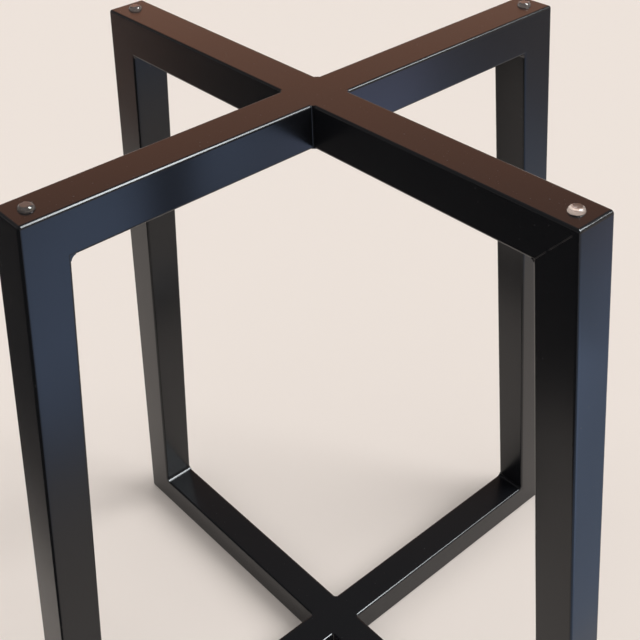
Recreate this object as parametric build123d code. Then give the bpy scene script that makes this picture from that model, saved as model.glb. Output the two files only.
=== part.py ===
from build123d import *
from math import cos, hypot, radians, sin
import os

# Table base of square steel tube, in millimetres, standing on the floor at Z 0 around the Z axis.
# Two closed frames cross at right angles, flush at the top and on the floor: the through frame lies
# along X and keeps its rails whole, the cross frame lies along Y and its rails are cut in two.
# Each frame is drawn in its own plane: u runs along the frame and z upwards.

# Frames
base_height = 711.0  # floor to the top face of the rails
top_length = 555.0  # end to end of a frame at its top face
foot_length = 726.0  # end to end of a frame on the floor

# Square tube
tube_width = 38.1
tube_wall = 2.0
tube_edge_radius = 2.5
corner_grind = 0.5  # how much rounder the ground outer corners are than the tube's own edges

# Weld beads in the inner corners of the frames
bead_leg = 4.2  # reach along each face
dressed_bead_leg = 2.2  # the same in the top corners of the cross frame, which are dressed finer
bead_fullness = 1.1  # throat, as a share of that of a hollow face that runs smoothly into both tubes
bead_end_gap = 0.2  # side face of the tube to the end of the bead
bead_bevel = 0.7  # edge between the bead's face and its end

# Welds round the butt joints of the cross frame's half rails
joint_leg = 1.2  # reach along each face
joint_throat = 0.6  # root of the corner to the face of the weld
joint_bevel = 0.6  # upper and lower edge of the upright beads
groove_share = 0.9  # part of the tube's edge radius that the ground weld fills

# Clear bumpers on the top rails
bumper_diameter = 12.7
bumper_height = 3.2
bumper_shoulder = 2.0  # height where the tapered side turns in
bumper_taper = 0.6  # how far the side leans in up to the shoulder
bumper_flat = 8.3  # diameter of the flat on top
bumper_inset = 17.0  # end of the rail to the bumper's centre

half_width = tube_width / 2
leg_lean = (foot_length - top_length) / 2 / base_height  # how far a leg leans out per unit of height
ground_radius = tube_edge_radius + corner_grind
same_place = 0.01  # points closer than this count as one


def corner(inset, end, top):
    """Corner of a frame's outline after all four sides move inwards by the inset."""
    z = base_height - inset if top else inset
    u = foot_length / 2 - leg_lean * z - inset * hypot(1, leg_lean)
    return Vector(end * u, z)


def outline():
    """Trapezoid face of a frame's outline."""
    return make_face(Polyline(corner(0, -1, False), corner(0, 1, False),
                              corner(0, 1, True), corner(0, -1, True), close=True))


def rail(inset, top):
    """Side view of a whole rail: its outer start and end, then its inner end and start."""
    far_inset = tube_width - inset
    return [corner(inset, -1, top), corner(inset, 1, top),
            corner(far_inset, 1, top), corner(far_inset, -1, top)]


def half_rail(inset, end, top):
    """Side view of a half rail, from the corner of its frame to the side of the through rail."""
    far_inset = tube_width - inset
    outer, inner = corner(inset, end, top), corner(far_inset, end, top)
    butt = end * half_width
    return [outer, Vector(butt, outer.Y), Vector(butt, inner.Y), inner]


def leg(inset, end):
    """Side view of a leg, from the floor corner to the top corner."""
    far_inset = tube_width - inset
    return [corner(inset, end, False), corner(inset, end, True),
            corner(far_inset, end, True), corner(far_inset, end, False)]


def long_edges(bar, view):
    """Edges of an extruded side view that run along the tube, and not across it or along its cut ends."""
    outer_start, outer_end, inner_end, inner_start = view
    cuts = [(outer_start, inner_start - outer_start), (outer_end, inner_end - outer_end)]

    def runs_along(edge):
        middle = edge.center()
        off_cuts = all(abs((middle - start).cross(cut.normalized()).Z) > same_place for start, cut in cuts)
        return off_cuts and abs(middle.Z) > same_place

    return bar.edges().filter_by(runs_along)


def solid_tube(shape, *where):
    """Outside of a tube with its long edges rounded, not yet hollow. Its mitred ends take their share of
    the frame's ground outer corners."""
    view = shape(0, *where)
    ground_outline = fillet(outline().vertices(), ground_radius)
    bar = extrude(make_face(Polyline(*view, close=True)) & ground_outline, half_width, both=True)
    return fillet(long_edges(bar, view), tube_edge_radius)


def tube(shape, *where):
    """Hollow tube, open at its cut ends."""
    bore_view = make_face(Polyline(*shape(tube_wall, *where), close=True))
    return solid_tube(shape, *where) - extrude(bore_view, half_width - tube_wall, both=True)


def corner_bead(end, top, reach, neighbours):
    """Hollow-faced weld bead in an inner corner of a frame, wrapped round the edges of the tubes it joins."""
    root = corner(tube_width, end, top)
    along_rail = Vector(-end, 0)
    along_leg = (corner(tube_width, end, not top) - root).normalized()
    middle = (along_rail + along_leg).normalized()
    half_angle = radians(along_rail.get_angle(along_leg)) / 2
    throat = bead_fullness * reach * (1 - sin(half_angle)) / cos(half_angle)
    rail_toe, leg_toe = root + along_rail * reach, root + along_leg * reach
    face_arc = ThreePointArc(rail_toe, root + middle * throat, leg_toe)
    behind = root - middle * tube_edge_radius * 2
    back = Polyline(leg_toe, leg_toe + (behind - root), behind, rail_toe + (behind - root), rail_toe)
    bead = extrude(make_face(face_arc + back), half_width - bead_end_gap, both=True)
    end_arcs = bead.edges().filter_by(GeomType.CIRCLE)
    return chamfer(end_arcs, bead_bevel) - neighbours


def joint_weld(end, top, neighbours):
    """Weld round a half rail where it butts against the through rail: a bead in each upright corner, and
    the grooves above and below, which the tubes' round edges leave, filled flush."""
    root = Vector(half_width, half_width)
    diagonal = Vector(1, 1).normalized()
    groove = half_width - tube_edge_radius * groove_share
    wall_toe, rail_toe = root + Vector(joint_leg, 0), root + Vector(0, joint_leg)
    flare = ThreePointArc(wall_toe, root + diagonal * joint_throat, rail_toe)
    edge = Polyline(rail_toe, (0, rail_toe.Y), (0, groove), (wall_toe.X, groove), wall_toe)
    half_plan = make_face(flare + edge)
    plan = half_plan + mirror(half_plan, about=Plane.YZ)
    collar = extrude(plan, tube_width)
    collar = chamfer(collar.edges().filter_by(GeomType.CIRCLE), joint_bevel)
    underside = base_height - tube_width if top else 0
    half_turn = 0 if end > 0 else 180
    return Pos(0, 0, underside) * collar.rotate(Axis.Z, half_turn) - neighbours


def bumper(end):
    """Squat bumper with a tapered side, a bevelled shoulder and a flat top, stuck near the end of a rail."""
    radius = bumper_diameter / 2
    profile = Polyline((0, 0), (radius, 0), (radius - bumper_taper, bumper_shoulder),
                       (bumper_flat / 2, bumper_height), (0, bumper_height), close=True)
    turned = revolve(Plane.XZ * make_face(profile), Axis.Z)
    return Pos(end * (top_length / 2 - bumper_inset), 0, base_height) * turned


def upright(solid):
    """From a frame's own plane to the plane of the through frame."""
    return solid.rotate(Axis.X, 90)


def crosswise(solid):
    """From the plane of the through frame to the plane of the cross frame."""
    return solid.rotate(Axis.Z, 90)


pieces = {}
LEVELS = {"top": True, "bottom": False}
THROUGH_ENDS = {"left": -1, "right": 1}
CROSS_ENDS = {"front": -1, "back": 1}

for level, top in LEVELS.items():
    pieces[f"through_{level}_rail"] = upright(tube(rail, top))
    for name, end in CROSS_ENDS.items():
        pieces[f"{name}_{level}_half_rail"] = crosswise(upright(tube(half_rail, end, top)))

for name, end in THROUGH_ENDS.items():
    pieces[f"{name}_leg"] = upright(tube(leg, end))
    pieces[f"{name}_bumper"] = bumper(end)

for name, end in CROSS_ENDS.items():
    pieces[f"{name}_leg"] = crosswise(upright(tube(leg, end)))
    pieces[f"{name}_bumper"] = crosswise(bumper(end))

for level, top in LEVELS.items():
    for name, end in THROUGH_ENDS.items():
        joined = [solid_tube(rail, top), solid_tube(leg, end)]
        pieces[f"{name}_{level}_corner_bead"] = upright(corner_bead(end, top, bead_leg, joined))
    for name, end in CROSS_ENDS.items():
        joined = [solid_tube(half_rail, end, top), solid_tube(leg, end)]
        reach = dressed_bead_leg if top else bead_leg
        pieces[f"{name}_{level}_corner_bead"] = crosswise(upright(corner_bead(end, top, reach, joined)))
        joined = [upright(solid_tube(rail, top)), crosswise(upright(solid_tube(half_rail, end, top)))]
        pieces[f"{name}_{level}_joint_weld"] = joint_weld(end, top, joined)

os.makedirs("parts", exist_ok=True)
for name, piece in pieces.items():
    export_step(piece, f"parts/{name}.step")
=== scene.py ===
"""Looks of a welded table base: two crossed frames of square steel tube in a black satin coat, with four
clear bumpers on the top rails. Lengths are in metres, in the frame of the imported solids."""

from math import hypot, pi, radians, tan

import bpy
import numpy as np
from mathutils import Matrix, Vector


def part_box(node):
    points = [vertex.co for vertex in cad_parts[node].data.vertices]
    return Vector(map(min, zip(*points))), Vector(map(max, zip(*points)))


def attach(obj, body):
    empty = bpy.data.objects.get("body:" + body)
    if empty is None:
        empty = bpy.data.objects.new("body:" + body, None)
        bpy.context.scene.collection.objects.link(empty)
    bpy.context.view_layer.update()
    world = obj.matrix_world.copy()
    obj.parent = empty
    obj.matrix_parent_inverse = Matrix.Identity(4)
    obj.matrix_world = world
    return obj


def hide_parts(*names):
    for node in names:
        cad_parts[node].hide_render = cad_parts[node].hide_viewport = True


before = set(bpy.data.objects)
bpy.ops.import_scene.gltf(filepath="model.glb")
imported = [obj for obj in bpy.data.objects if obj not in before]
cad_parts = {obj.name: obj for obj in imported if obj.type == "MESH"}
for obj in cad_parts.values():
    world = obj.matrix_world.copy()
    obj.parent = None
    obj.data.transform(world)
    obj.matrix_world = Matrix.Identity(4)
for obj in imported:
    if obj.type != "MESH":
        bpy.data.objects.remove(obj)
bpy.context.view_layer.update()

# Outline of a frame, for the seams where its tubes are mitred
top_length = 0.555
foot_length = 0.726
rail_low, rail_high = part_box("through_top_rail")
base_height = rail_high.z
tube_width = rail_high.y - rail_low.y

# Black coat
coat_colour = (0.005, 0.0055, 0.007)
coat_ior = 1.4
coat_roughness = 0.18
wiped_size = 0.09  # patches of differing gloss
wiped_roughness = 0.08
peel_size = 0.0024  # orange peel
grit_size = 0.0007
grit_height = 0.18  # as a share of the height of the orange peel
dust_size = 0.0016
dust_band = (0.84, 0.90)  # level of the noise where a speck begins and where it is full
# lighter colour of the dust specks, also used on the mitre traces, where it is partly a painted highlight
dust_and_seam_highlight_colour = (0.16, 0.15, 0.15)
dust_cover = 0.3
dust_roughness = 0.3
bump_strength = 0.5
bump_depth = 0.00003

# Trace of the mitres on the front leg: a raised line, and a lighter tint that is partly the ground weld under
# the paint and partly a painted highlight
seam_width = 0.0008
seam_core = 0.3  # share of the width that is at full strength
seam_reach = (0.15, 0.2)  # distance from the middle of the base where the trace begins and where it is full
seam_stretch = 0.007  # length of its stretches and gaps
seam_band = (0.35, 0.6)  # level of the noise where a stretch begins and where it is full
# share of that lighter colour on the mitre traces, which is partly a painted highlight
seam_highlight_cover = 0.12
seam_height = 6.0  # as a multiple of the height of the orange peel

# Bumpers
bumper_shoulder = 0.0020  # height where the tapered side turns in
bumper_taper = 0.0006  # how far the side leans in up to the shoulder
bumper_flat = 0.0083  # diameter of the flat on top
bumper_rim = 0.9  # share of the flat where the rounding of its rim has ended
bumper_pole = bumper_flat / 80  # radius of the face that closes the flat in its middle
bumper_sink = 0.00005  # how far a stuck bumper wets into the coat
loose_lift = 0.00004  # film of air under the bumper that has come loose, which makes it bright
LOOSE_BUMPER = "front_bumper"
clear_colour = (1.0, 0.88, 0.82, 1)
clear_ior = 1.49
clear_share = 0.94  # share of the light that goes through; the rest makes the body faintly milky
clear_roughness = 0.06
smear_size = 0.003  # patches of duller gloss
smear_roughness = 0.1

# Camera
camera_place = (-0.5088, -0.5999, 1.0737)
camera_heading = radians(-40.08)  # turn about Z from a view along +Y
camera_pitch = radians(37.08)  # below the horizon
camera_roll = radians(-2.33)
camera_lens = 59.03  # millimetres, on a sensor 36 mm wide

# Floor, and the light from all round
floor_reach = 60.0  # half the side of the floor
floor_colour = (0.88, 0.80, 0.74, 1)
horizon_colour = (0.85, 0.765, 0.705)
room_colour = (0.2, 0.197, 0.194)
horizon_band = (0.18, 0.3)  # rise of the direction where the pale horizon ends and the dimmer room begins

# Daylight: a soft key on the front right and a wide fill from above
key_way = (0.53, -0.46, 0.71)
key_strength = 1.5
key_spread = radians(40)
fill_way = (0.0, 0.0, 1.0)
fill_strength = 1.22
fill_spread = radians(120)

# Window for the highlights, a broad part and a narrow one side by side. Its ways, as that of the warm panel,
# start from the middle of the base's top, and its sizes are across the slant and along it
top_middle = Vector((0, 0, base_height))
window_distance = 5.2
window_slant = (0.405, 0.139, -0.229)
window_colour = (0.92, 0.97, 1.0)
broad_way = (0.396, -0.506, 0.784)
broad_size = (4.6, 1.3)
broad_radiance = 34.0
narrow_way = (0.621, -0.428, 0.657)
narrow_size = (1.5, 1.5)
narrow_radiance = 20.0

# Warm panel behind the base, for the gloss of the top faces
warm_way = (0.59, 0.69, 0.41)
warm_distance = 8.0
warm_size = (9.0, 3.4)
warm_radiance = 0.68
warm_colour = (1.0, 0.31, 0.08)

# Cool panels on the front right, one for each half of the through frame's near side
cool_spread = radians(54)
cool_place = (0.08, -0.66, 0.24)
cool_aim = (-0.27, -0.08, 0.71)
cool_slant = (0.78, -0.04, 0.62)
cool_size = (0.26, 0.56)
cool_radiance = 1.9
cool_colour = (0.43, 0.6, 1.0)
cool_back_place = (0.49, -0.50, 0.37)
cool_back_aim = (0.05, -0.02, 0.69)
cool_back_size = (0.18, 0.3)
cool_back_radiance = 1.5
cool_back_colour = (0.55, 0.59, 1.0)

# Cards that only reflections see: a dark one upright on the left, a blue one just above the floor in front
dark_low = (-0.56, -1.0, 0.001)
dark_high = (-0.56, 1.6, 0.8)
dark_band = (0.8, 1.3)  # stretch of Y over which its colour turns
dark_colours = ((0.01, 0.01, 0.012), (0.4, 0.25, 0.2))
blue_low = (-0.6, -2.0, 0.003)
blue_high = (2.6, -0.52, 0.003)
blue_band = (0.95, 1.5)  # stretch of X over which its colour turns
blue_colours = ((0.5, 0.66, 0.98), (0.38, 0.35, 0.38))

NODES_COATED = [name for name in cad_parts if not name.endswith("bumper")]
NODES_CLEAR = [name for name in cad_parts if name.endswith("bumper")]


class Wire:
    """A value in a material's node tree. Arithmetic on it adds Math nodes, and node() adds any other node."""

    def __init__(self, tree, socket=None):
        self.tree = tree
        self.socket = socket

    def node(self, kind, output=0, settings=None, inputs=None):
        """A new node of that kind, set and linked, as the wire of its named or numbered output."""
        made = self.tree.nodes.new(kind)
        for name, value in (settings or {}).items():
            setattr(made, name, value)
        for name, value in (inputs or {}).items():
            if isinstance(value, Wire):
                self.tree.links.new(value.socket, made.inputs[name])
            else:
                made.inputs[name].default_value = value
        return Wire(self.tree, made.outputs[output])

    def math(self, operation, *values):
        return self.node("ShaderNodeMath", 0, {"operation": operation}, dict(enumerate(values)))

    def __add__(self, other):
        return self.math("ADD", self, other)

    def __radd__(self, other):
        return self.math("ADD", other, self)

    def __sub__(self, other):
        return self.math("SUBTRACT", self, other)

    def __rsub__(self, other):
        return self.math("SUBTRACT", other, self)

    def __mul__(self, other):
        return self.math("MULTIPLY", self, other)

    def __rmul__(self, other):
        return self.math("MULTIPLY", other, self)

    def __abs__(self):
        return self.math("ABSOLUTE", self)

    def ramp(self, low, high):
        """0 below low, 1 above high, and a smooth step between them."""
        return self.node("ShaderNodeMapRange", 0, {"interpolation_type": "SMOOTHSTEP"},
                         {"Value": self, "From Min": low, "From Max": high})


def new_material(name):
    """A material with a Principled shader, as its shader node and a wire to build from."""
    material = bpy.data.materials.new(name)
    material.use_nodes = True
    tree = material.node_tree
    return material, tree.nodes["Principled BSDF"], Wire(tree)


def constants(shader, **values):
    """Values that are the same all over the surface, set on the shader's own sockets."""
    for name, value in values.items():
        shader.inputs[name.replace("_", " ")].default_value = value


def feed(shader, **wires):
    """Values that change over the surface, linked to the shader."""
    for name, wire in wires.items():
        wire.tree.links.new(wire.socket, shader.inputs[name.replace("_", " ")])


def object_place(start):
    """The point of the surface, in the object's own frame."""
    return start.node("ShaderNodeTexCoord", "Object")


def coordinate(place, axis):
    """One coordinate of a point or a direction."""
    return place.node("ShaderNodeSeparateXYZ", axis, {}, {"Vector": place})


def noise(place, size, detail):
    """Fractal noise from 0 to 1 whose features are about that size."""
    return place.node("ShaderNodeTexNoise", "Fac", {}, {"Vector": place, "Scale": 1 / size, "Detail": detail})


def colour_mix(amount, first, second):
    """The first colour where the amount is 0, the second where it is 1."""
    return amount.node("ShaderNodeMix", "Result", {"data_type": "RGBA"},
                       {"Factor": amount, "A": (*first, 1), "B": (*second, 1)})


def mitre_seam(place):
    """1 on the mitres of the front leg, 0 away from them: the distance from the line between the outer and
    the inner corner, in the plane of its frame."""
    front = 0 - coordinate(place, "Y")
    z = coordinate(place, "Z")
    lean = (foot_length - top_length) / 2 / base_height
    nearest = None
    for z_outer, inwards in ((base_height, -1), (0.0, 1)):
        u_outer = foot_length / 2 - lean * z_outer
        u_inner = u_outer - tube_width * (hypot(1, lean) + inwards * lean)
        slope = Vector((u_inner - u_outer, inwards * tube_width)).normalized()
        distance = abs((front - u_outer) * slope.y - (z - z_outer) * slope.x)
        nearest = distance if nearest is None else nearest.math("MINIMUM", nearest, distance)
    return (1 - nearest.ramp(seam_width * seam_core, seam_width)) * front.ramp(*seam_reach)


def black_coat():
    """Satin black powder coat: faint orange peel, wiped patches, a little dust and traces of a mitre, whose
    lighter tint is partly a painted highlight.
    """
    material, shader, start = new_material("black_coat_look")
    place = object_place(start)
    wiped = noise(place, wiped_size, detail=3.0)
    peel = noise(place, peel_size, detail=1.0)
    grit = noise(place, grit_size, detail=1.0)
    specks = noise(place, dust_size, detail=0.0).ramp(*dust_band)
    seam = mitre_seam(place) * noise(place, seam_stretch, detail=1.0).ramp(*seam_band)
    # Lighter colour on the dust specks, and on the mitre traces, where it is partly a painted highlight
    dust_and_seam_highlight_tint = colour_mix(specks * dust_cover + seam * seam_highlight_cover, coat_colour, dust_and_seam_highlight_colour)
    height = peel + grit * grit_height + seam * seam_height
    bump = start.node("ShaderNodeBump", "Normal", {},
                      {"Height": height, "Strength": bump_strength, "Distance": bump_depth})
    roughness = coat_roughness + wiped * wiped_roughness + specks * dust_roughness
    constants(shader, IOR=coat_ior)
    feed(shader, Base_Color=dust_and_seam_highlight_tint, Roughness=roughness, Normal=bump)
    return material


def clear_rubber():
    """Clear soft plastic with a faintly uneven gloss."""
    material, shader, start = new_material("clear_bumper_look")
    smears = noise(object_place(start), smear_size, detail=2.0)
    constants(shader, Base_Color=clear_colour, IOR=clear_ior, Transmission_Weight=clear_share)
    feed(shader, Roughness=clear_roughness + smears * smear_roughness)
    return material


def grid_faces(rows, columns):
    """Quads of a grid that closes on itself along its columns."""
    row, column = np.mgrid[0:rows - 1, 0:columns]
    after = (column + 1) % columns
    return np.stack([row * columns + column, row * columns + after,
                     (row + 1) * columns + after, (row + 1) * columns + column], -1).reshape(-1, 4)


def new_piece(name, points, faces, material):
    """A smooth mesh object at the origin."""
    mesh = bpy.data.meshes.new(name)
    mesh.from_pydata(points.reshape(-1, 3).tolist(), [], faces)
    mesh.materials.append(material)
    mesh.shade_smooth()
    piece = bpy.data.objects.new(name, mesh)
    bpy.context.scene.collection.objects.link(piece)
    return piece


def rounded(corners, steps):
    """A line through the corners with each inner one rounded: between the middles of the two runs beside
    it, the line is the parabola (1-t)^2 start + 2t(1-t) corner + t^2 end."""
    corners = np.array(corners)
    middles = (corners[1:] + corners[:-1]) / 2
    joints = np.concatenate([corners[:1], middles[1:-1], corners[-1:]])
    t = np.linspace(0, 1, steps, endpoint=False)[None, :, None]
    start, corner, end = joints[:-1, None], corners[1:-1, None], joints[1:, None]
    line = (1 - t) ** 2 * start + 2 * t * (1 - t) * corner + t ** 2 * end
    return np.concatenate([line.reshape(-1, 2), corners[-1:]])


def bumper_body(node, material, steps=10, sides=72):
    """A squat round bumper on the place of the node: a rounded outline of (radius, height), turned about
    the upright axis, with a tapered side, a soft shoulder, a flat top and a flat underside."""
    low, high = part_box(node)
    centre = (low + high) / 2
    radius, height, flat = (high.x - low.x) / 2, high.z - low.z, bumper_flat / 2
    foot = loose_lift if node == LOOSE_BUMPER else -bumper_sink
    outline = rounded([(radius, foot), (radius - bumper_taper, bumper_shoulder), (flat, height),
                       (flat * bumper_rim, height), (bumper_pole, height)], steps)
    turn = np.linspace(0, 2 * pi, sides, endpoint=False)[None, :]
    r, z = outline[:, :1], low.z + outline[:, 1:]
    points = np.stack([centre.x + r * np.cos(turn), centre.y + r * np.sin(turn), z + 0 * turn], -1)
    rings = len(outline)
    faces = grid_faces(rings, sides).tolist()
    faces.append(list(range(sides))[::-1])
    faces.append(list(range((rings - 1) * sides, rings * sides)))
    piece = new_piece(node + "_body", points, faces, material)
    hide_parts(node)
    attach(piece, "root")
    return piece


def room():
    """Light from all round: a pale band above the horizon that fades upwards into a dimmer room."""
    world = bpy.data.worlds.new("room")
    world.use_nodes = True
    tree = world.node_tree
    rise = coordinate(Wire(tree).node("ShaderNodeTexCoord", "Generated"), "Z")
    light = colour_mix(rise.ramp(*horizon_band), horizon_colour, room_colour)
    tree.links.new(light.socket, tree.nodes["Background"].inputs["Color"])
    bpy.context.scene.world = world


def daylight(name, way, strength, spread):
    """Even light over the whole floor from a direction, soft by its spread, that the gloss doesn't show."""
    lamp = bpy.data.lights.new(name, "SUN")
    lamp.energy = strength
    lamp.angle = spread
    holder = bpy.data.objects.new(name, lamp)
    holder.rotation_euler = Vector(way).to_track_quat("Z", "Y").to_euler()
    holder.visible_glossy = False
    bpy.context.scene.collection.objects.link(holder)


def softbox(name, place, aim, size, radiance, colour, along=(0, 0, 1), spread=pi):
    """A rectangular lamp for the gloss, width by height, that faces its aim and has that radiance seen from
    there. Its height runs along the given direction as nearly as it can. A grid over it keeps its light
    within the spread, and the factor 1 - half / tan(half) evens out the gain of that."""
    lamp = bpy.data.lights.new(name, "AREA")
    lamp.shape = "RECTANGLE"
    lamp.size, lamp.size_y = size
    lamp.color = colour
    lamp.spread = spread
    half = spread / 2
    lamp.energy = radiance * pi * size[0] * size[1] * (1 - half / tan(half))
    away = (Vector(place) - Vector(aim)).normalized()
    across = Vector(along).cross(away).normalized()
    turn = Matrix((across, away.cross(across), away)).transposed()
    holder = bpy.data.objects.new(name, lamp)
    holder.matrix_world = Matrix.Translation(place) @ turn.to_4x4()
    holder.visible_camera = False
    holder.visible_diffuse = False
    bpy.context.scene.collection.objects.link(holder)
    return holder


def window(name, way, size, radiance):
    """A part of the window, which the coat and the clear bumpers show."""
    place = top_middle + Vector(way) * window_distance
    softbox(name, place, top_middle, size, radiance, window_colour, window_slant)


def panels():
    """Coloured panels that only the gloss of the coat shows."""
    warm_place = top_middle + Vector(warm_way) * warm_distance
    warm = softbox("warm_panel", warm_place, top_middle, warm_size, warm_radiance, warm_colour)
    cool = softbox("cool_panel", cool_place, cool_aim, cool_size, cool_radiance, cool_colour,
                   along=cool_slant, spread=cool_spread)
    cool_back = softbox("cool_panel_back", cool_back_place, cool_back_aim, cool_back_size,
                        cool_back_radiance, cool_back_colour, spread=cool_spread)
    for panel in (warm, cool, cool_back):
        panel.visible_transmission = False


def card(name, points, material):
    """A flat sheet of the set."""
    sheet = new_piece(name, np.array(points), [tuple(range(len(points)))], material)
    return sheet


def floor():
    """A pale matt floor."""
    material, shader, _ = new_material("floor")
    constants(shader, Base_Color=floor_colour, Roughness=1.0, Specular_IOR_Level=0.0)
    half = floor_reach
    card("floor", [(-half, -half, 0), (half, -half, 0), (half, half, 0), (-half, half, 0)], material)


def reflected_card(name, points, axis, band, colours):
    """A matt card that only reflections see. Its colour turns from one to another along an axis."""
    material, shader, start = new_material(name)
    share = coordinate(object_place(start), axis).ramp(*band)
    constants(shader, Roughness=1.0)
    feed(shader, Base_Color=colour_mix(share, *colours))
    sheet = card(name, points, material)
    sheet.visible_camera = False
    sheet.visible_diffuse = False
    sheet.visible_transmission = False
    sheet.visible_shadow = False


def dark_card():
    """An upright card along Y."""
    (x, y_low, z_low), (_, y_high, z_high) = dark_low, dark_high
    points = [(x, y_low, z_low), (x, y_high, z_low), (x, y_high, z_high), (x, y_low, z_high)]
    reflected_card("dark_card", points, "Y", dark_band, dark_colours)


def blue_card():
    """A card that lies level."""
    (x_low, y_low, z), (x_high, y_high, _) = blue_low, blue_high
    points = [(x_low, y_low, z), (x_high, y_low, z), (x_high, y_high, z), (x_low, y_high, z)]
    reflected_card("blue_card", points, "X", blue_band, blue_colours)


def camera():
    """A camera at the photograph's place and angle."""
    lens = bpy.data.cameras.new("camera")
    lens.lens = camera_lens
    eye = bpy.data.objects.new("camera", lens)
    turn = Matrix.Rotation(camera_heading, 4, "Z") @ Matrix.Rotation(pi / 2 - camera_pitch, 4, "X")
    eye.matrix_world = Matrix.Translation(camera_place) @ turn @ Matrix.Rotation(camera_roll, 4, "Z")
    bpy.context.scene.collection.objects.link(eye)
    bpy.context.scene.camera = eye


bpy.context.scene.view_settings.view_transform = "Standard"
camera()
room()
floor()
daylight("key", key_way, key_strength, key_spread)
daylight("fill", fill_way, fill_strength, fill_spread)
window("window", broad_way, broad_size, broad_radiance)
window("window_slit", narrow_way, narrow_size, narrow_radiance)
panels()
dark_card()
blue_card()

coat = black_coat()
for name in NODES_COATED:
    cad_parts[name].material_slots[0].material = coat
clear = clear_rubber()
for name in NODES_CLEAR:
    bumper_body(name, clear)
